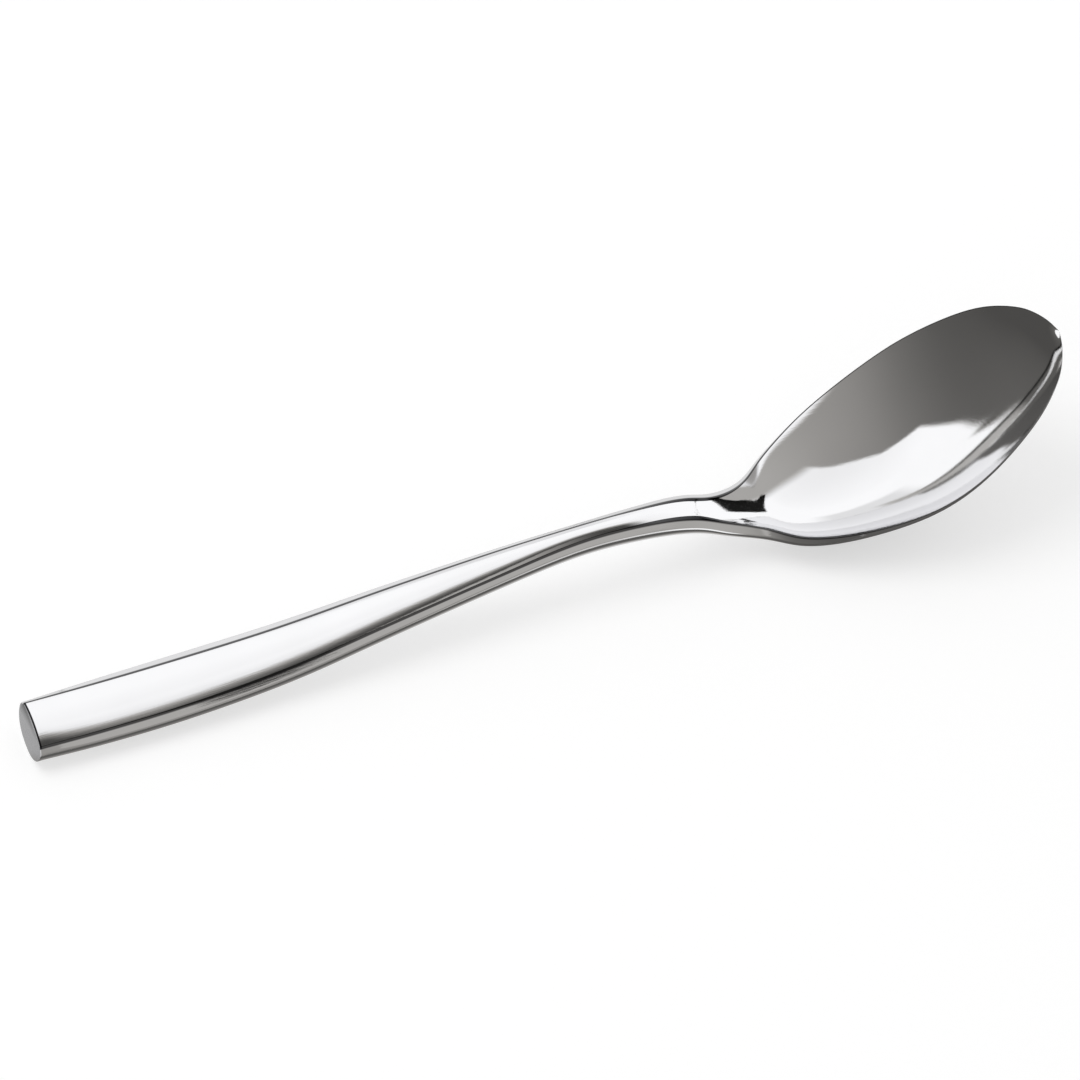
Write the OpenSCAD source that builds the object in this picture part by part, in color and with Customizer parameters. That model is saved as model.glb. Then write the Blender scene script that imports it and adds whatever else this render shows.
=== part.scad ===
/* [Overall] */
// Length from the top edge of the end face to the tip of the bowl
spoon_l = 245; // [200:1:300]

/* [Bowl] */
// Greatest width of the bowl across its rim
bowl_w = 48.4; // [40:0.2:58]
// Greatest depth of the bowl's inside below its rim
bowl_depth = 10.5; // [8:0.5:13]
// Thickness of the metal at the bottom of the bowl
bowl_wall = 2; // [1.6:0.1:2.6]
// Height of the edge of the rim
rim_t = 1.2; // [0.9:0.1:1.6]
// How far the underside rises from the table at the tip
tip_rise = 35.5; // [24:0.5:40]

/* [Neck] */
// Width between the two top edges where the neck is narrowest
neck_w = 4.8; // [4:0.2:8]
// Thickness of the neck below its top edges
neck_t = 5; // [4.6:0.1:7]
// Height of the underside above the table at the top of the arch
arch_rise = 10.8; // [6:0.2:16]

/* [Handle] */
// Width between the two top edges at the end of the handle
handle_w = 13.8; // [11:0.2:18]
// Thickness of the handle below its top edges
handle_t = 5.5; // [5:0.1:8]
// How much the top face bulges above its edges
crown = 0.6; // [0.3:0.1:1.2]
// How far the shoulder slopes out past each top edge
shoulder_w = 2.3; // [1.4:0.1:3.2]
// How far the shoulder slopes down from each top edge
shoulder_drop = 1; // [0.6:0.1:1.4]
// Angle by which the end face leans out at the bottom
end_lean = 23; // [0:1:30]
// Length over which the sections straighten up again after the end face
lean_l = 26; // [20:1:40]

/* [Shells, cap and tang] */
// Length of the handle from the end face to the joint at the neck
handle_l = 147; // [135:1:152]
// Wall of the two handle shells
shell_wall = 0.8; // [0.6:0.1:1]
// Thickness of the end cap
cap_t = 1.2; // [0.8:0.1:2]
// Length of the tang inside the handle
tang_l = 50; // [30:1:80]
// Width of the tang at its root
tang_w = 4.4; // [3:0.2:5]
// Thickness of the tang at its root
tang_t = 2.2; // [1.6:0.1:2.6]

/* [Hidden] */

// Rings along each handle shell
shell_rings = 30;
// Rings along the tang
tang_rings = 8;
// Rings from the joint to the tip
bowl_rings = 60;
// Points from the middle of the top face to its edge
top_points = 8;
// Points from the widest line to the middle of the underside
under_points = 10;
// Point of the underside, counted from the widest line, where the shells meet
seam_point = 2;
// Steps used to find a station from its distance
halvings = 26;
// Share of the tang's root that is left at its end
tang_end_share = 0.6;
// Roundness of the underside of the handle
under_power = 2.3;
// Roundness of the crown and of the bowl across the spoon
crown_power = 2;
dish_power = 2.2;

// Stations from the end face to the tip, as shares of the handle's length and of the rest
handle_x_shares = [0, 0.1, 0.235, 0.4, 0.565, 0.735, 0.865, 0.965, 1, 1, 1, 1, 1, 1, 1, 1, 1, 1, 1];
head_x_shares = [0, 0, 0, 0, 0, 0, 0, 0, 0.075, 0.16, 0.24, 0.32, 0.44, 0.595, 0.725, 0.86, 0.945,
    0.984, 1];
// Half width between the top edges, as shares of the handle's, the neck's and the bowl's
handle_w_shares = [1, 1, 0.98, 0.83, 0.58, 0.25, 0, 0, 0, 0, 0, 0, 0, 0, 0, 0, 0, 0, 0];
neck_w_shares = [0, 0, 0, 0.15, 0.4, 0.78, 1, 1.02, 1.05, 1, 0.8, 0.4, 0, 0, 0, 0, 0, 0, 0];
bowl_w_shares = [0, 0, 0, 0, 0, 0, 0, 0, 0.024, 0.066, 0.214, 0.53, 0.818, 0.983, 0.977, 0.79, 0.515,
    0.24, 0.012];
// Reach and drop of the shoulder, and the rim's edge that it turns into
shoulder_w_shares = [0.66, 0.94, 1.04, 1, 0.86, 0.74, 0.78, 0.9, 1.05, 1.15, 1, 0.66, 0.28, 0.06, 0,
    0, 0, 0, 0];
shoulder_drop_shares = [1.15, 0.8, 0.5, 0.45, 0.5, 0.7, 0.9, 1, 1.1, 0.9, 0.6, 0.25, 0, 0, 0, 0, 0,
    0, 0];
rim_shares = [0, 0, 0, 0, 0, 0, 0, 0, 0, 0.3, 0.6, 0.95, 1.1, 1, 0.92, 0.84, 0.78, 0.75, 0.74];
// Crown of the top face and depth of the bowl along the spoon
crown_shares = [1, 1, 1, 1, 0.95, 0.85, 0.8, 0.65, 0.3, 0, 0, 0, 0, 0, 0, 0, 0, 0, 0];
dish_shares = [0, 0, 0, 0, 0, 0, 0, 0, 0, 0.06, 0.24, 0.54, 0.88, 1, 0.952, 0.68, 0.35, 0.09, 0];
// Thickness along the spoon, as shares of the handle's, the neck's and the bowl wall's
handle_t_shares = [1, 1, 1, 0.8, 0.4, 0.1, 0, 0, 0, 0, 0, 0, 0, 0, 0, 0, 0, 0, 0];
neck_t_shares = [0, 0, 0, 0.2, 0.6, 0.9, 0.98, 1, 1.02, 0.88, 0.55, 0.15, 0, 0, 0, 0, 0, 0, 0];
wall_shares = [0, 0, 0, 0, 0, 0, 0, 0, 0, 0, 0.3, 0.7, 1, 1, 0.92, 0.8, 0.7, 0.62, 0.6];
// Height of the underside, as shares of the arch's height and of the tip's
arch_shares = [0.06, 0.012, 0.012, 0.15, 0.49, 0.81, 1, 0.97, 0.8, 0.455, 0.2, 0.035, 0.015, 0, 0, 0,
    0, 0, 0];
tip_shares = [0, 0, 0, 0, 0, 0, 0, 0, 0, 0, 0, 0, 0, 0.11, 0.306, 0.608, 0.824, 0.95, 0.985];
// How far the section has turned from the handle's form to the bowl's
turn_shares = [0, 0, 0, 0, 0, 0, 0, 0, 0.1, 0.4, 0.75, 1, 1, 1, 1, 1, 1, 1, 1];

last = len(head_x_shares) - 1;
head_l = spoon_l - handle_l;

// Smooth curve through the values of a list, one station apart
function slope(v, i) = i == 0 ? v[1] - v[0] : i == last ? v[last] - v[last - 1]
    : (v[i + 1] - v[i - 1]) / 2;
function at(v, u) = let (i = max(0, min(last - 1, floor(u))), t = u - i)
    v[i] * (2 * t^3 - 3 * t^2 + 1) + slope(v, i) * (t^3 - 2 * t^2 + t)
    + v[i + 1] * (3 * t^2 - 2 * t^3) + slope(v, i + 1) * (t^3 - t^2);
function mix(a, b, t) = a + (b - a) * t;

// Sizes of the section at station u
function station_x(u) = handle_l * at(handle_x_shares, u) + head_l * at(head_x_shares, u);
function station_at(x, low = 0, high = last, n = halvings) = let (mid = (low + high) / 2)
    n == 0 ? mid : station_x(mid) < x ? station_at(x, mid, high, n - 1)
    : station_at(x, low, mid, n - 1);
function edge_y(u) = handle_w / 2 * at(handle_w_shares, u) + neck_w / 2 * at(neck_w_shares, u)
    + bowl_w / 2 * at(bowl_w_shares, u);
function wide_y(u) = edge_y(u) + shoulder_w * max(0, at(shoulder_w_shares, u));
function drop(u) = shoulder_drop * at(shoulder_drop_shares, u) + rim_t * at(rim_shares, u);
function dish(u) = bowl_depth * max(0, at(dish_shares, u));
function rise(u) = crown * at(crown_shares, u) - dish(u);
function thick(u) = handle_t * at(handle_t_shares, u) + neck_t * at(neck_t_shares, u) + dish(u)
    + bowl_wall * at(wall_shares, u);
function under_z(u) = arch_rise * at(arch_shares, u) + tip_rise * at(tip_shares, u);
function turn(u) = at(turn_shares, u);

// Stations of the rings
cap_x = cap_t / cos(end_lean);
cap_u = station_at(cap_x);
joint_u = station_at(handle_l);
shell_us = [for (i = [0:shell_rings]) station_at(mix(cap_x, handle_l, i / shell_rings))];
bowl_us = [for (i = [0:bowl_rings]) mix(joint_u, last, i / bowl_rings)];
tang_us = [for (i = [0:tang_rings]) station_at(handle_l - tang_l * (1 - i / tang_rings))];

// The lowest point of the underside lies on the table, and the middle of the box on the Z axis
table_z = min([for (u = concat(shell_us, bowl_us)) under_z(u)]);
function edge_z(u) = under_z(u) + thick(u) - table_z;
mid_x = (spoon_l - tan(end_lean) * thick(cap_u)) / 2;

// One section as points [y, z]: top from -Y to +Y, then the underside back
function top_point(u, k) = let (e = k / top_points - 1)
    [e * edge_y(u), edge_z(u) + rise(u) * (1 - abs(e)^mix(crown_power, dish_power, turn(u)))];
function under_point(u, k) = let (e = cos(90 * k / under_points),
    p = mix(under_power, dish_power, turn(u)), q = mix(under_power, 1, turn(u)))
    [e * wide_y(u), edge_z(u) - drop(u) - (thick(u) - drop(u)) * max(0, 1 - abs(e)^p)^(1 / q)];
function section(u) = concat([for (k = [0:2 * top_points]) top_point(u, k)],
    [for (k = [0:2 * under_points]) under_point(u, k)]);
right_seam = 2 * top_points + 1 + seam_point;
left_seam = 2 * top_points + 1 + 2 * under_points - seam_point;
ring_n = 2 * top_points + 2 * under_points + 2;

// The same section drawn in towards its middle
function seam_z(u) = under_point(u, seam_point)[1];
function top_h(u) = edge_z(u) + rise(u) - seam_z(u);
function low_h(u) = seam_z(u) - edge_z(u) + thick(u);
function drawn_in(u, sy, st, sl) = let (c = seam_z(u))
    [for (p = section(u)) [p[0] * sy, c + (p[1] - c) * (p[1] > c ? st : sl)]];
function cavity(u) = drawn_in(u, (wide_y(u) - shell_wall) / wide_y(u),
    (top_h(u) - shell_wall) / top_h(u), (low_h(u) - shell_wall) / low_h(u));
function tang_taper(u) = mix(1, tang_end_share, (handle_l - station_x(u)) / tang_l);
function tang(u) = let (s = tang_t / thick(u) * tang_taper(u))
    drawn_in(u, tang_w / 2 * tang_taper(u) / wide_y(u), s, s);

// A section placed in space, leaning with the end face near it
function lean(x) = tan(end_lean) * max(0, 1 - (x - cap_x) / lean_l)^2;
function placed(points, u) = let (x = station_x(u), z = edge_z(u), s = lean(x))
    [for (p = points) [x - s * (z - p[1]) - mid_x, p[0], p[1]]];

// A closed solid through rings that have the same number of points. Its ends are fans about
// the middle of the underside, or strips across a wall.
module loft(rings, wall = false) {
    n = len(rings[0]);
    m = len(rings);
    sides = [for (i = [0:m - 2], j = [0:n - 1]) let (a = i * n + j, b = i * n + (j + 1) % n)
        each [[a, b, b + n], [a, b + n, a + n]]];
    hub = 2 * top_points + 1 + under_points;
    fan = [for (j = [1:n - 2]) [hub, (hub + j) % n, (hub + j + 1) % n]];
    strip = [for (j = [0:n / 2 - 2]) each [[j, j + 1, n - 1 - j], [j + 1, n - 2 - j, n - 1 - j]]];
    end = wall ? strip : fan;
    polyhedron([for (r = rings) each r], concat(sides, [for (f = end) [f[2], f[1], f[0]]],
        [for (f = end) [for (v = f) v + (m - 1) * n]]));
}

// Outer and inner points of one shell, between two places on the ring
function part_ring(u, from, count) = let (outer = section(u), inner = cavity(u))
    concat([for (k = [0:count]) outer[(from + k) % ring_n]],
    [for (k = [count:-1:0]) inner[(from + k) % ring_n]]);

module bowl() {
    color("gainsboro") loft(concat([for (u = tang_us) placed(tang(u), u)],
        [for (u = bowl_us) placed(section(u), u)]));
}

module handle_top_shell() {
    color("whitesmoke") loft([for (u = shell_us)
        placed(part_ring(u, left_seam, ring_n - left_seam + right_seam), u)], wall = true);
}

module handle_bottom_shell() {
    color("silver") loft([for (u = shell_us)
        placed(part_ring(u, right_seam, left_seam - right_seam), u)], wall = true);
}

module handle_end_cap() {
    slab = handle_w + handle_t;
    color("darkgray") intersection() {
        translate([-slab - mid_x, 0, 0]) rotate([90, 0, 90]) linear_extrude(2 * slab)
            polygon(section(cap_u));
        translate([-mid_x, 0, edge_z(cap_u)]) rotate([0, end_lean, 0])
            translate([0, -slab, -slab]) cube([cap_t, 2 * slab, 2 * slab]);
    }
}

module handle_core() {
    color("dimgray") loft(concat([for (u = shell_us) placed(cavity(u), u)],
        [for (i = [tang_rings:-1:0]) placed(tang(tang_us[i]), tang_us[i])]));
}

bowl();
handle_top_shell();
handle_bottom_shell();
handle_end_cap();
handle_core();
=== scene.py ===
"""Looks of the serving spoon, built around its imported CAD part."""
import math

import bmesh
import bpy
import numpy as np
from mathutils import Matrix, Vector


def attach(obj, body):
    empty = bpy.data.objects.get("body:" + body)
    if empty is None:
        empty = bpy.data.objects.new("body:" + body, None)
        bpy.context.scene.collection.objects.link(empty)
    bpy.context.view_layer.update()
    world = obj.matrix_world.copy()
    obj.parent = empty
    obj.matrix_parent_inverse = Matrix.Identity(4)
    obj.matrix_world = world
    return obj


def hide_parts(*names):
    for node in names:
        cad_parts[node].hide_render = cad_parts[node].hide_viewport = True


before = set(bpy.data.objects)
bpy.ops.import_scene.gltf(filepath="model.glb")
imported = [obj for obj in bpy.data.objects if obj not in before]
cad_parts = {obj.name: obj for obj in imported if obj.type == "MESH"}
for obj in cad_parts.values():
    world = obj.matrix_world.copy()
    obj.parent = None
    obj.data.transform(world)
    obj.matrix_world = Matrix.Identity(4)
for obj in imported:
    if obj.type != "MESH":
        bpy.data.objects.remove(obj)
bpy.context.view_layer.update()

# Sizes, in millimetres
spoon_l, handle_l, lean_angle, lean_l = 245, 147, math.radians(23), 26
end_lean = math.tan(lean_angle)
bowl_w, bowl_depth, bowl_wall, rim_t, tip_rise = 48.4, 10.5, 2, 1.2, 35.5
neck_w, neck_t, arch_rise = 4.8, 5, 10.8
handle_w, handle_t, crown, shoulder_w, shoulder_drop = 13.8, 5.5, 0.6, 2.3, 1
shell_wall, cap_t, tang_l, tang_w, tang_t, tang_end_share = 0.8, 1.2, 50, 4.4, 2.2, 0.6
cap_x = cap_t / math.cos(lean_angle)
arris_r, shoulder_r, cap_r = 0.22, 0.6, 0.2
painted_line_w, neck_painted_line_w = 0.1, 0.6  # width of the painted dark reflection line inside the edges, and what the neck adds
arris_share, shoulder_share, seam_gap = 0.3, 0.55, 0.05
seam_angle = 18
crown_power, bowl_power = 2, 2.2
handle_powers, bowl_powers = (2.3, 2.3), (2.2, 1)  # roundness of the underside
neck_u, neck_reach_u = 8.3, 1.6  # where the neck's painted dark reflection line is strongest, and how far it reaches
last_u, tip_u = 18, 17.9997

# Shares at the 19 stations from the end face to the tip
shares = {
    "handle_x": [0, .1, .235, .4, .565, .735, .865, .965] + [1] * 11,
    "head_x": [0] * 8 + [.075, .16, .24, .32, .44, .595, .725, .86, .945, .984, 1],
    "handle_w": [1, 1, .98, .83, .58, .25] + [0] * 13,
    "neck_w": [0, 0, 0, .15, .4, .78, 1, 1.02, 1.05, 1, .8, .4] + [0] * 7,
    "bowl_w": [0] * 8 + [.024, .066, .214, .53, .818, .983, .977, .79, .515, .24, .012],
    "shoulder_w": [.66, .94, 1.04, 1, .86, .74, .78, .9, 1.05, 1.15, 1, .66, .28, .06] + [0] * 5,
    "shoulder_drop": [1.15, .8, .5, .45, .5, .7, .9, 1, 1.1, .9, .6, .25] + [0] * 7,
    "rim": [0] * 9 + [.3, .6, .95, 1.1, 1, .92, .84, .78, .75, .74],
    "crown": [1, 1, 1, 1, .95, .85, .8, .65, .3] + [0] * 10,
    "dish": [0] * 9 + [.06, .24, .54, .88, 1, .952, .68, .35, .09, 0],
    "handle_t": [1, 1, 1, .8, .4, .1] + [0] * 13,
    "neck_t": [0, 0, 0, .2, .6, .9, .98, 1, 1.02, .88, .55, .15] + [0] * 7,
    "wall": [0] * 10 + [.3, .7, 1, 1, .92, .8, .7, .62, .6],
    "arch": [.06, .012, .012, .15, .49, .81, 1, .97, .8, .455, .2, .035, .015] + [0] * 6,
    "tip": [0] * 13 + [.11, .306, .608, .824, .95, .985],
    "turn": [0] * 8 + [.1, .4, .75] + [1] * 8,
}
STEPS, CROWN_STEPS, UNDER_STEPS = 200, 160, 241
HANDLE_RINGS, TANG_RINGS, BOWL_RINGS = 150, 12, 230
FLAT, ROUND, SIDE, LOW = 30, 8, 6, 26  # points over half the top, a corner, a shoulder, half below
FIRST, CENTRE = FLAT, FLAT + 1 + 2 * ROUND + 2 * (SIDE - 1)
fine_u = np.linspace(0, last_u, last_u * STEPS + 1)


def through(values):
    """Smooth curve through the stations, then eased so that reflections run evenly."""
    v = np.array(values, float)
    slope = np.concatenate([[v[1] - v[0]], (v[2:] - v[:-2]) / 2, [v[-1] - v[-2]]])
    i = np.minimum(fine_u.astype(int), last_u - 1)
    t = fine_u - i
    curve = (v[i] * (2 * t**3 - 3 * t**2 + 1) + slope[i] * (t**3 - 2 * t**2 + t)
             + v[i + 1] * (3 * t**2 - 2 * t**3) + slope[i + 1] * (t**3 - t**2))
    reach = STEPS // 2
    weight = np.hanning(2 * reach + 3)[1:-1]
    before, after = 2 * curve[0] - curve[reach:0:-1], 2 * curve[-1] - curve[-2:-reach - 2:-1]
    return np.convolve(np.concatenate([before, curve, after]), weight / weight.sum(), "valid")


curve = {name: through(values) for name, values in shares.items()}
dish = bowl_depth * np.maximum(curve["dish"], 0)
form = {
    "x": handle_l * curve["handle_x"] + (spoon_l - handle_l) * curve["head_x"],
    "edge": (handle_w * curve["handle_w"] + neck_w * curve["neck_w"] + bowl_w * curve["bowl_w"]) / 2,
    "reach": shoulder_w * np.maximum(curve["shoulder_w"], 0),
    "drop": shoulder_drop * curve["shoulder_drop"] + rim_t * curve["rim"],
    "rise": crown * curve["crown"] - dish,
    "thick": handle_t * curve["handle_t"] + neck_t * curve["neck_t"] + dish + bowl_wall * curve["wall"],
    "under": arch_rise * curve["arch"] + tip_rise * curve["tip"],
    "turn": np.clip(curve["turn"], 0, 1),
}
form["under"] -= form["under"].min() - 0.01


def at(name, u):
    return float(np.interp(u, fine_u, form[name]))


def station(x):
    return float(np.interp(x, form["x"], fine_u))


def half_width(u):
    return at("edge", u) + at("reach", u)


def top_height(u):
    return at("under", u) + at("thick", u)


mid_x = (spoon_l - end_lean * at("thick", station(cap_x))) / 2


# The section
def half_section(u):
    """Right half of the section, from the middle of the top to the middle of the underside,
    with its corners still sharp. Returns lengths, points, and the places of the two corners
    and of the seam."""
    edge, wide, top = at("edge", u), half_width(u), top_height(u)
    drop, rise, thick, turn = (at(n, u) for n in ("drop", "rise", "thick", "turn"))
    e = np.linspace(0, 1, CROWN_STEPS)
    power = crown_power + (bowl_power - crown_power) * turn
    upper = np.stack([e * edge, top + rise * (1 - e**power)], 1)
    angles = np.linspace(0, 90, UNDER_STEPS)
    e = np.cos(np.radians(angles))
    p, q = (a + (b - a) * turn for a, b in zip(handle_powers, bowl_powers))
    lower = np.stack([e * wide, top - drop - (thick - drop) * np.maximum(0, 1 - e**p) ** (1 / q)], 1)
    path = np.concatenate([upper, lower])
    s = np.concatenate([[0], np.cumsum(np.hypot(*np.diff(path, axis=0).T))])
    seam = float(np.interp(seam_angle, angles, s[len(upper):]))
    return s, path, s[len(upper) - 1], s[len(upper)], seam


def along(s, path, where):
    return np.stack([np.interp(where, s, path[:, 0]), np.interp(where, s, path[:, 1])], 1)


def corner(s, path, middle, r, n):
    a, b, d = along(s, path, [middle - r, middle, middle + r])
    t = np.linspace(0, 1, n)[:, None]
    return (1 - t) ** 2 * a + 2 * t * (1 - t) * b + t**2 * d


def at_neck(u):
    return max(0, 1 - abs(u - neck_u) / neck_reach_u)


def closing_in(a, b, n, both=False):
    """Places from a to b that come closer together towards b, or towards both."""
    t = np.linspace(0, 1, n + 1)[1:-1]
    return a + (b - a) * ((1 - np.cos(math.pi * t)) / 2 if both else np.sin(math.pi / 2 * t))


def section_parts(u):
    """The outer section in two stretches: over the top from seam to seam, and the underside."""
    s, path, s1, s2, seam = half_section(u)
    r1 = min(arris_r, arris_share * (s2 - s1))
    r2 = min(shoulder_r, shoulder_share * (s2 - s1))
    # The flat top stops where the painted dark reflection line along the edge begins, further in at the
    # neck
    painted_line_start = s1 - r1 - painted_line_w - neck_painted_line_w * at_neck(u)
    seam = max(seam, s2 + r2 + seam_gap)
    half = np.concatenate([
        along(s, path, [0]), along(s, path, closing_in(0, painted_line_start, FLAT)), along(s, path, [painted_line_start]),
        corner(s, path, s1, r1, ROUND),
        along(s, path, closing_in(s1 + r1, s2 - r2, SIDE, True)),
        corner(s, path, s2, r2, ROUND),
        along(s, path, closing_in(s2 + r2, seam, SIDE, True)), along(s, path, [seam])])
    low = along(s, path, np.append(closing_in(s[-1], seam, LOW)[::-1], s[-1]))
    over = np.concatenate([half[:0:-1] * [-1, 1], half])
    below = np.concatenate([half[-1:], low, low[-2::-1] * [-1, 1], half[-1:] * [-1, 1]])
    return over, below


def drawn_in(points, across, over, under, middle):
    """A section made smaller: across, and over and under its middle height."""
    z = points[:, 1] - middle
    return np.stack([points[:, 0] * across, middle + z * np.where(z > 0, over, under)], 1)


def at_seam(u):
    s, path, s1, s2, seam = half_section(u)
    return float(np.interp(seam, s, path[:, 1]))


def cavity(points, u):
    """The inner face of a shell."""
    middle = at_seam(u)
    sizes = half_width(u), top_height(u) + at("rise", u) - middle, middle - at("under", u)
    return drawn_in(points, *(1 - shell_wall / size for size in sizes), middle)


def placed(points, u, shift=0.0):
    """A section put in its place in space, in metres, leaning with the end face near it."""
    x, top = at("x", u), top_height(u)
    lean = end_lean * max(0, 1 - (x - cap_x) / lean_l) ** 2
    return np.stack([x + shift - lean * (top - points[:, 1]) - mid_x, points[:, 0], points[:, 1]],
                    1) * 0.001


# Pieces
FACES_END, CREASE = -0.85, math.radians(35)


def skin(name, rings, stands_for, finish, edges=None, fully_painted_rings=(), face=None):
    """A grid wrapped round the rings, closed along its side and at both ends. Its attribute marks
    where a dark reflection is painted into the colour: along the two crisp edges of the top, as
    strongly as the given strength for each ring, and over the whole of the top on the rings listed as
    fully painted. The end face may have its own finish."""
    bm = bmesh.new()
    painted_edge_reflection = bm.verts.layers.float.new("painted_edge_reflection")
    count, around = len(rings), len(rings[0])
    bmesh.ops.create_grid(bm, x_segments=count - 1, y_segments=around, size=1)
    for v in bm.verts:
        i, j = round((v.co.x + 1) / 2 * (count - 1)), round((v.co.y + 1) / 2 * around)
        v.co = rings[i][j % around]
        away = abs(j - CENTRE)
        # From where the flat top ends through the edge rounding, a dark reflection is painted into the
        # colour
        if edges is not None and away <= FIRST + 1 + ROUND:
            v[painted_edge_reflection] = 1 if i in fully_painted_rings else edges[i] if away >= FIRST else 0
    bmesh.ops.remove_doubles(bm, verts=bm.verts, dist=1e-7)
    bmesh.ops.holes_fill(bm, edges=[e for e in bm.edges if e.is_boundary], sides=0)
    bmesh.ops.recalc_face_normals(bm, faces=bm.faces)
    for f in bm.faces:
        f.smooth = True
        f.material_index = 1 if face and f.normal.x < FACES_END else 0
    for e in bm.edges:
        e.smooth = e.calc_face_angle(0) < CREASE
    mesh = bpy.data.meshes.new(name)
    bm.to_mesh(mesh)
    bm.free()
    piece = bpy.data.objects.new(name, mesh)
    bpy.context.scene.collection.objects.link(piece)
    for coat in filter(None, (finish, face)):
        mesh.materials.append(coat)
    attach(piece, "root")
    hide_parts(stands_for)
    return piece


def evened(a, b, n):
    """Stations between two places along the spoon, closer together at both ends."""
    return [station(a + (b - a) * (1 - math.cos(math.pi * i / n)) / 2) for i in range(n + 1)]


# Finishes
def material(name, metallic, base, rough):
    m = bpy.data.materials.new(name)
    m.use_nodes = True
    nodes, links = m.node_tree.nodes, m.node_tree.links
    shader = nodes["Principled BSDF"]
    shader.inputs["Metallic"].default_value = metallic
    shader.inputs["Base Color"].default_value = (*base, 1)
    shader.inputs["Roughness"].default_value = rough
    place = nodes.new("ShaderNodeTexCoord").outputs["Object"]
    return m, nodes, links, shader, place


def stretched(nodes, links, place, scale):
    mapping = nodes.new("ShaderNodeMapping")
    mapping.inputs["Scale"].default_value = scale
    links.new(place, mapping.inputs["Vector"])
    return mapping.outputs["Vector"]


def noise(nodes, links, where, scale, detail, rough=0.5):
    n = nodes.new("ShaderNodeTexNoise")
    n.inputs["Scale"].default_value = scale
    n.inputs["Detail"].default_value = detail
    n.inputs["Roughness"].default_value = rough
    links.new(where, n.inputs["Vector"])
    return n.outputs["Fac"]


def ranged(nodes, links, value, low, high, to_low, to_high):
    r = nodes.new("ShaderNodeMapRange")
    for key, v in zip(("From Min", "From Max", "To Min", "To Max"), (low, high, to_low, to_high)):
        r.inputs[key].default_value = v
    links.new(value, r.inputs["Value"])
    return r.outputs["Result"]


def tinted(nodes, links, value, dark, light):
    mix = nodes.new("ShaderNodeMix")
    mix.data_type = "RGBA"
    mix.inputs["A"].default_value, mix.inputs["B"].default_value = (*dark, 1), (*light, 1)
    links.new(value, mix.inputs["Factor"])
    return mix.outputs["Result"]


def bumped(nodes, links, shader, height, strength, distance):
    b = nodes.new("ShaderNodeBump")
    b.inputs["Strength"].default_value = strength
    b.inputs["Distance"].default_value = distance
    links.new(height, b.inputs["Height"])
    links.new(b.outputs["Normal"], shader.inputs["Normal"])


def with_painted_edge_line(nodes, links, colour, dark):
    """The colour with a painted dark reflection line where the edges are marked."""
    painted_line_mask = nodes.new("ShaderNodeAttribute")
    painted_line_mask.attribute_name = "painted_edge_reflection"
    mix = nodes.new("ShaderNodeMix")
    mix.data_type = "RGBA"
    mix.inputs["B"].default_value = (*dark, 1)
    links.new(painted_line_mask.outputs["Fac"], mix.inputs["Factor"])
    links.new(colour, mix.inputs["A"])
    return mix.outputs["Result"]


def polished_steel():
    m, nodes, links, shader, place = material("polished_steel", 1, (0.83, 0.83, 0.84), 0.05)
    lines = noise(nodes, links, stretched(nodes, links, place, (60, 2600, 2600)), 1, 4, 0.65)
    haze = noise(nodes, links, place, 55, 3)
    links.new(ranged(nodes, links, lines, 0.35, 0.75, 0.03, 0.075), shader.inputs["Roughness"])
    colour = tinted(nodes, links, haze, (0.8, 0.8, 0.81), (0.86, 0.86, 0.874))
    # Near-black base colour where the edges are marked: a painted dark reflection along the edges
    links.new(with_painted_edge_line(nodes, links, colour, (0.02, 0.02, 0.022)), shader.inputs["Base Color"])
    bumped(nodes, links, shader, lines, 0.03, 0.0002)
    return m


def ground_steel():
    m, nodes, links, shader, place = material("ground_steel", 1, (0.4, 0.4, 0.41), 0.3)
    lines = noise(nodes, links, stretched(nodes, links, place, (2500, 150, 2500)), 1, 5, 0.7)
    links.new(ranged(nodes, links, lines, 0.3, 0.7, 0.22, 0.36), shader.inputs["Roughness"])
    colour = tinted(nodes, links, lines, (0.35, 0.35, 0.36), (0.46, 0.46, 0.47))
    # Dark base colour where the edges are marked: a painted dark reflection along the end face's rim
    links.new(with_painted_edge_line(nodes, links, colour, (0.05, 0.05, 0.05)), shader.inputs["Base Color"])
    bumped(nodes, links, shader, lines, 0.12, 0.0002)
    return m


def cast_resin():
    m, nodes, links, shader, place = material("cast_resin", 0, (0.16, 0.16, 0.17), 0.6)
    grains = noise(nodes, links, place, 900, 4)
    links.new(tinted(nodes, links, grains, (0.12, 0.12, 0.13), (0.2, 0.2, 0.21)),
              shader.inputs["Base Color"])
    links.new(ranged(nodes, links, grains, 0.3, 0.7, 0.5, 0.75), shader.inputs["Roughness"])
    bumped(nodes, links, shader, grains, 0.2, 0.0003)
    return m


steel, ground, resin = polished_steel(), ground_steel(), cast_resin()


# The spoon
# Strength of the dark reflection painted along the crisp edges, and how much of it fades round the bowl
PAINTED_EDGE_DARKNESS, PAINTED_RIM_FADE = 0.87, 0.32


def whole(u):
    over, below = section_parts(u)
    return np.concatenate([over, below[1:-1]])


def painted_edge_strength(u):
    """How dark the painted reflection along the crisp edge is: most at the neck, least round the bowl.
    """
    return PAINTED_EDGE_DARKNESS + (1 - PAINTED_EDGE_DARKNESS) * at_neck(u) - PAINTED_RIM_FADE * min(1, max(0, (u - 12) / 2))


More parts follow.
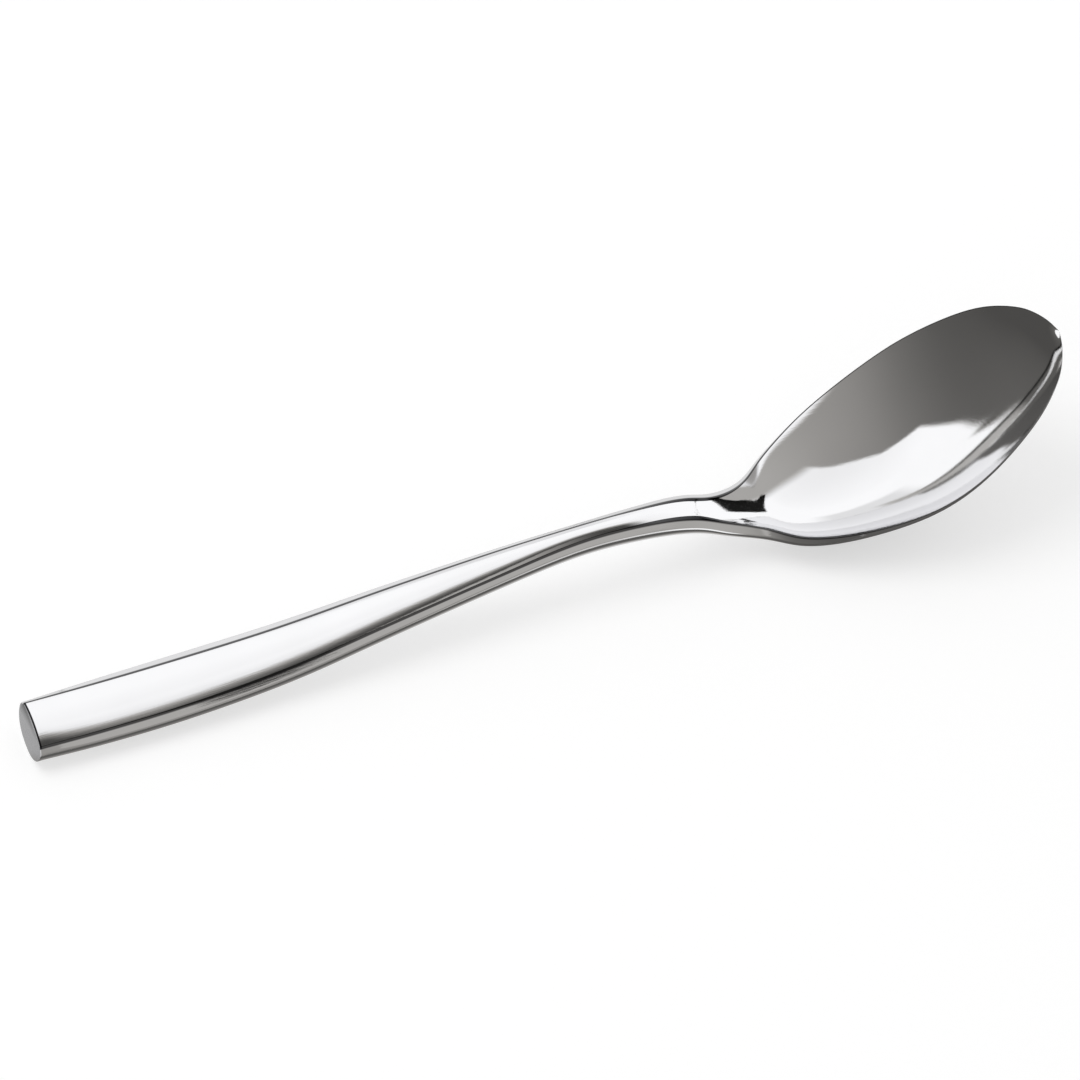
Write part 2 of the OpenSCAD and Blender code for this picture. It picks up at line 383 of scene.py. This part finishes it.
def bowl_and_neck():
    joint = station(handle_l)
    tang = []
    for i in range(TANG_RINGS + 1):
        back = 1 - i / TANG_RINGS
        u = station(handle_l - tang_l * back)
        taper = 1 + (tang_end_share - 1) * back
        s = tang_t / at("thick", u) * taper
        across = tang_w / 2 * taper / half_width(u)
        tang.append(placed(drawn_in(whole(u), across, s, s, at_seam(u)), u))
    near = [station(handle_l + 0.02 * 1.5**i) for i in range(9)]
    near = [u for u in near if u < joint + 0.1]
    places = [joint] + near + list(np.linspace(near[-1], tip_u, BOWL_RINGS))[1:]
    # The neck and bowl carry the painted dark reflection along their edges; the tang none
    return skin("bowl_and_neck", tang + [placed(whole(u), u) for u in places], "bowl",
                steel, [0] * len(tang) + [painted_edge_strength(u) for u in places])


def shell_rings(pick):
    rings = []
    for u in handle_places:
        stretch = section_parts(u)[pick]
        rings.append(np.concatenate([placed(stretch, u), placed(cavity(stretch, u), u)[::-1]]))
    return rings


def end_cap():
    u = station(cap_x)
    outline = whole(u)
    wide, high = half_width(u), at("thick", u) / 2
    rings = [placed(outline, u, back - cap_x) for back in (cap_x, cap_r + 0.2, cap_r + 0.15)]
    for i in range(7):
        a = math.radians(15 * i)
        back, inset = cap_r * (1 - math.sin(a)), cap_r * (1 - math.cos(a))
        shape = drawn_in(outline, 1 - inset / wide, 1 - inset / high, 1 - inset / high,
                         at("under", u) + high)
        rings.append(placed(shape, u, back - cap_x))
    # The cap's edges, and the whole of its rounded rim, carry the painted dark reflection
    return skin("handle_end_cap_face", rings, "handle_end_cap", steel,
                [PAINTED_EDGE_DARKNESS] * len(rings), fully_painted_rings=range(2, 8), face=ground)


bowl_and_neck()
handle_places = evened(cap_x, handle_l, HANDLE_RINGS)
# The handle's top carries the painted dark reflection along its edges
skin("handle_top", shell_rings(0), "handle_top_shell", steel,
     [painted_edge_strength(u) for u in handle_places])
skin("handle_underside", shell_rings(1), "handle_bottom_shell", steel)
end_cap()
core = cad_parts["handle_core"]
for slot in core.material_slots:
    slot.material = resin


# Floor, light and camera
PLAIN = 0.8  # brightness of the white surroundings as a light
ROOM_R, FLOOR_R, FLAG_Z, TABLE_Z = 20, 4, 0.075, 0.0004
WARM = (1.03, 1, 0.95)


def direction(azimuth, elevation):
    a, e = math.radians(azimuth), math.radians(elevation)
    return Vector((math.cos(e) * math.cos(a), math.cos(e) * math.sin(a), math.sin(e)))


class Field:
    """A number that changes over a surface, reckoned with maths nodes."""
    tree = None

    def __init__(self, socket):
        self.socket = socket

    def maths(self, operation, *others):
        node = Field.tree.nodes.new("ShaderNodeMath")
        node.operation = operation
        for socket, value in zip(node.inputs, (self, *others)):
            if isinstance(value, Field):
                Field.tree.links.new(value.socket, socket)
            else:
                socket.default_value = value
        return Field(node.outputs[0])

    def __add__(self, other):
        return self.maths("ADD", other)

    def __mul__(self, other):
        return self.maths("MULTIPLY", other)

    def between(self, low, high):
        node = Field.tree.nodes.new("ShaderNodeMapRange")
        node.interpolation_type = "SMOOTHSTEP"
        node.inputs["From Min"].default_value, node.inputs["From Max"].default_value = low, high
        Field.tree.links.new(self.socket, node.inputs["Value"])
        return Field(node.outputs["Result"])

    def outside(self, low, high):
        return self.between(low, high) * -1 + 1

    def blend(self, other, mask):
        return (self * -1 + other) * mask + self


def place_fields(nodes, links, unit=False):
    """The place on a stage piece in metres, or its direction from the origin."""
    place = nodes.new("ShaderNodeTexCoord").outputs["Object"]
    if unit:
        turned = nodes.new("ShaderNodeVectorMath")
        turned.operation = "NORMALIZE"
        links.new(place, turned.inputs[0])
        place = turned.outputs["Vector"]
    parts = nodes.new("ShaderNodeSeparateXYZ")
    links.new(place, parts.inputs[0])
    return [Field(out) for out in parts.outputs]


def stage_piece(name, bm, coat):
    mesh = bpy.data.meshes.new(name)
    bm.to_mesh(mesh)
    bm.free()
    piece = bpy.data.objects.new(name, mesh)
    bpy.context.scene.collection.objects.link(piece)
    mesh.materials.append(coat)
    return piece


def glowing(name, brightness, cover=None):
    """A material of one brightness field, built by the function, that covers as far as the
    cover field says."""
    m = bpy.data.materials.new(name)
    m.use_nodes = True
    nodes, links = m.node_tree.nodes, m.node_tree.links
    nodes.clear()
    Field.tree = m.node_tree
    value = brightness(nodes, links)
    glow, out = nodes.new("ShaderNodeEmission"), nodes.new("ShaderNodeOutputMaterial")
    tint = tinted(nodes, links, value.between(0.3, 0.9).socket, WARM, (1, 1, 1))
    links.new(tint, glow.inputs["Color"])
    links.new(value.socket, glow.inputs["Strength"])
    last = glow
    if cover:
        clear, last = nodes.new("ShaderNodeBsdfTransparent"), nodes.new("ShaderNodeMixShader")
        links.new(cover(nodes, links).socket, last.inputs["Fac"])
        links.new(clear.outputs[0], last.inputs[1])
        links.new(glow.outputs[0], last.inputs[2])
    links.new(last.outputs[0], out.inputs["Surface"])
    return m


def for_mirrors(name, bm, brightness, cover=None):
    """A backdrop seen in the polished steel alone: it neither lights the spoon nor shades it."""
    piece = stage_piece(name, bm, glowing(name, brightness, cover))
    piece.visible_camera = piece.visible_diffuse = piece.visible_shadow = False
    piece.visible_transmission = False


def reach_of_ray(nodes):
    return Field(nodes.new("ShaderNodeLightPath").outputs["Ray Length"])


def looked_at(nodes):
    """1 for rays from the eye or off a mirror, 0 for the rays that carry plain light."""
    rays = nodes.new("ShaderNodeLightPath")
    seen = Field(rays.outputs["Is Camera Ray"])
    for name in ("Is Glossy Ray", "Is Transmission Ray"):
        seen = seen.maths("MAXIMUM", Field(rays.outputs[name]))
    return seen


def room(nodes, links):
    """The studio as the steel sees it: a grey room, one great white panel behind and above
    with straight edges, a low white strip on the near side, a thin dark line across the far
    side and a black gap past the tip."""
    x, y, z = place_fields(nodes, links, True)

    def half(nx, ny, nz, width, offset=0.0):
        """The side that the normal points to, with an edge of twice this width."""
        n = Vector((nx, ny, nz)).normalized()
        return (x * n.x + y * n.y + z * n.z).between(offset - width, offset + width)

    grey = (z * 0.135 + x * 0.2 + 0.205).maths("MAXIMUM", 0.08)
    white = (z * -0.45 + 1.45).maths("MINIMUM", 1.15)
    white = white.blend(0.88, z.outside(0.47, 0.53) * x.outside(0.15, 0.35) * x.between(-0.25, -0.1))
    white = white.blend(0.5, (z + x * -0.5).outside(0.34, 0.38) * x.outside(-0.05, 0.02))
    panel = (half(1.55, 1, 0.813, 0.012) * half(0.307, 0.129, 0.258, 0.012)
             * half(-0.42, 1, 0.305, 0.12, 0.06)
             * half(0.23, 1, -0.291, 0.008).maths("MAXIMUM", half(0.955, 1, -0.039, 0.008))
             * (x + y * 0.53 + z * 0.45).between(-0.015, 0.03).maths("MAXIMUM",
                                                                    z.between(0.27, 0.33)))
    strip = ((z + x * -0.052 + y * 0.521).outside(0.23, 0.31) * x.between(0.05, 0.3)
             * (y * -1).between(0, 0.25))
    line = ((x * 0.311 + y * 0.283 + z * -0.908).maths("ABSOLUTE").outside(0.008, 0.035)
            * (x * -1).between(0, 0.45) * y.between(0.3, 0.5))
    gap = ((x * -0.541 + y * 0.282 + z * 0.792 + -0.05).maths("ABSOLUTE").outside(0.05, 0.058)
           * (y + x * -0.18).between(0, 0.02) * (x * 0.649 + y * -0.76).between(0, 0.01))
    return grey.blend(white, panel).blend(1.1, strip) * (line * -0.95 + 1) * (gap * -0.99 + 1)


def studio():
    """White all round for the eye and the mirror, plain for the light; inside it the room."""
    world = bpy.data.worlds.new("studio")
    bpy.context.scene.world = world
    world.use_nodes = True
    nodes, links = world.node_tree.nodes, world.node_tree.links
    nodes.clear()
    Field.tree = world.node_tree
    back, out = nodes.new("ShaderNodeBackground"), nodes.new("ShaderNodeOutputWorld")
    links.new((looked_at(nodes) * (1 - PLAIN) + PLAIN).socket, back.inputs["Strength"])
    links.new(back.outputs[0], out.inputs["Surface"])

    bm = bmesh.new()
    bmesh.ops.create_uvsphere(bm, u_segments=64, v_segments=32, radius=ROOM_R)
    bmesh.ops.bisect_plane(bm, geom=bm.verts[:] + bm.edges[:] + bm.faces[:], plane_co=(0, 0, 0),
                           plane_no=(0, 0, 1), clear_inner=True)
    for_mirrors("room", bm, room)


def sheet(corners):
    """A flat card from its four corners, given as two pairs."""
    bm = bmesh.new()
    bmesh.ops.create_grid(bm, x_segments=1, y_segments=1, size=1)
    for v in bm.verts:
        i, j = round((v.co.x + 1) / 2), round((v.co.y + 1) / 2)
        v.co = corners[2 * j + i]
    return bm


def backdrop_cards():
    """Backdrop cards that the steel mirrors: over the handle, past its end and on the table."""
    def over_handle(nodes, links):
        x, y, z = place_fields(nodes, links)
        ramp = nodes.new("ShaderNodeValToRGB")
        stops = ((0, 0.45), (0.539, 0.45), (0.561, 0.06), (0.589, 0.075), (0.622, 0.14),
                 (0.656, 0.26), (0.683, 0.42), (0.706, 0.65), (0.728, 0.9), (0.75, 1), (0.85, 1.1))
        for position, value in stops[2:]:
            ramp.color_ramp.elements.new(position)
        for element, (position, value) in zip(ramp.color_ramp.elements, stops):
            element.position, element.color = position, (value, value, value, 1)
        # Towards the handle's end, the bands on the far side move outwards
        aside = ((x * -1 + -0.094).maths("MAXIMUM", 0) * (1 / 0.014)).maths("MINIMUM", 1)
        place = (y + aside.maths("POWER", 2) * -0.0075).maths("MAXIMUM", y.maths("MINIMUM", 0.0155))
        links.new((place * (1 / 0.09) + 0.4).socket, ramp.inputs["Fac"])
        low = x.between(-0.02, 0.03) * y.between(-0.006, -0.002) * y.outside(0.012, 0.016)
        return Field(ramp.outputs["Color"]).blend(0.06, low)

    def near_the_handle(nodes, links):
        x, y, z = place_fields(nodes, links)
        return (reach_of_ray(nodes) + x * 0.1).outside(0.078, 0.082) * x.outside(0.036, 0.05)

    def past_the_end(nodes, links):
        x, y, z = place_fields(nodes, links)
        return x * 0 + 0.8

    def near_the_end(nodes, links):
        return reach_of_ray(nodes).outside(0.25, 0.26)

    def table(nodes, links):
        x, y, z = place_fields(nodes, links)
        slant = x + y * 0.39
        far = y.between(0.13, 0.18) * slant.between(0, 0.03) * slant.outside(0.118, 0.13)
        return (x * 0 + 0.8).blend(0.11, y.outside(-0.012, 0).maths("MAXIMUM", far))

    flag = sheet([(x, y, FLAG_Z) for y in (-0.036, 0.046) for x in (-0.17, 0.05)])
    end = sheet([(-0.21, y, z) for z in (0.02, 0.3) for y in (-0.12, 0.12)])
    top = sheet([(x, y, TABLE_Z) for y in (-2, 2) for x in (-2, 2)])
    for_mirrors("handle_flag", flag, over_handle, near_the_handle)
    for_mirrors("end_card", end, past_the_end, near_the_end)
    for_mirrors("table_card", top, table)


def pale_floor():
    bm = bmesh.new()
    bmesh.ops.create_circle(bm, cap_ends=True, segments=96, radius=FLOOR_R)
    m, nodes, links, shader, place = material("pale_floor", 0, (0.6, 0.6, 0.6), 0.9)
    shader.inputs["Specular IOR Level"].default_value = 0.1
    links.new(tinted(nodes, links, noise(nodes, links, place, 3, 2), (0.59, 0.59, 0.59),
                     (0.61, 0.61, 0.61)), shader.inputs["Base Color"])
    Field.tree = m.node_tree
    glow, both = nodes.new("ShaderNodeEmission"), nodes.new("ShaderNodeAddShader")
    links.new((looked_at(nodes) * 0.51).socket, glow.inputs["Strength"])
    links.new(shader.outputs[0], both.inputs[0])
    links.new(glow.outputs[0], both.inputs[1])
    links.new(both.outputs[0], nodes["Material Output"].inputs["Surface"])
    stage_piece("floor", bm, m)


def softbox(name, azimuth, elevation, size, power):
    light = bpy.data.lights.new(name, "AREA")
    light.shape, light.size, light.energy = "DISK", size, power
    lamp = bpy.data.objects.new(name, light)
    lamp.location = direction(azimuth, elevation) * 2
    lamp.rotation_euler = direction(azimuth, elevation).to_track_quat("Z", "Y").to_euler()
    lamp.visible_glossy = False
    bpy.context.scene.collection.objects.link(lamp)


def camera(azimuth, elevation, roll, distance, target, aside, lens):
    towards = direction(azimuth, elevation)
    right = Vector((0, 0, 1)).cross(towards).normalized()
    up = towards.cross(right)
    turn = math.radians(roll)
    right, up = (math.cos(turn) * right + math.sin(turn) * up,
                 math.cos(turn) * up - math.sin(turn) * right)
    seer = bpy.data.objects.new("camera", bpy.data.cameras.new("camera"))
    seer.data.lens, seer.data.sensor_width, seer.data.sensor_fit = lens, 36, "HORIZONTAL"
    seer.data.clip_start, seer.data.clip_end = 0.01, 50
    place = target + right * aside[0] + up * aside[1] + towards * distance
    seer.matrix_world = Matrix.Translation(place) @ Matrix((right, up, towards)).transposed().to_4x4()
    bpy.context.scene.collection.objects.link(seer)
    bpy.context.scene.camera = seer


pale_floor()
studio()
backdrop_cards()
softbox("key_light", 140, 65, 1.6, 9)
camera(-105.34, 48.78, -4.83, 1.202, Vector((0, 0, 0.018)), (-0.0013, -0.00056), 178.9)
bpy.context.scene.view_settings.view_transform = "Standard"
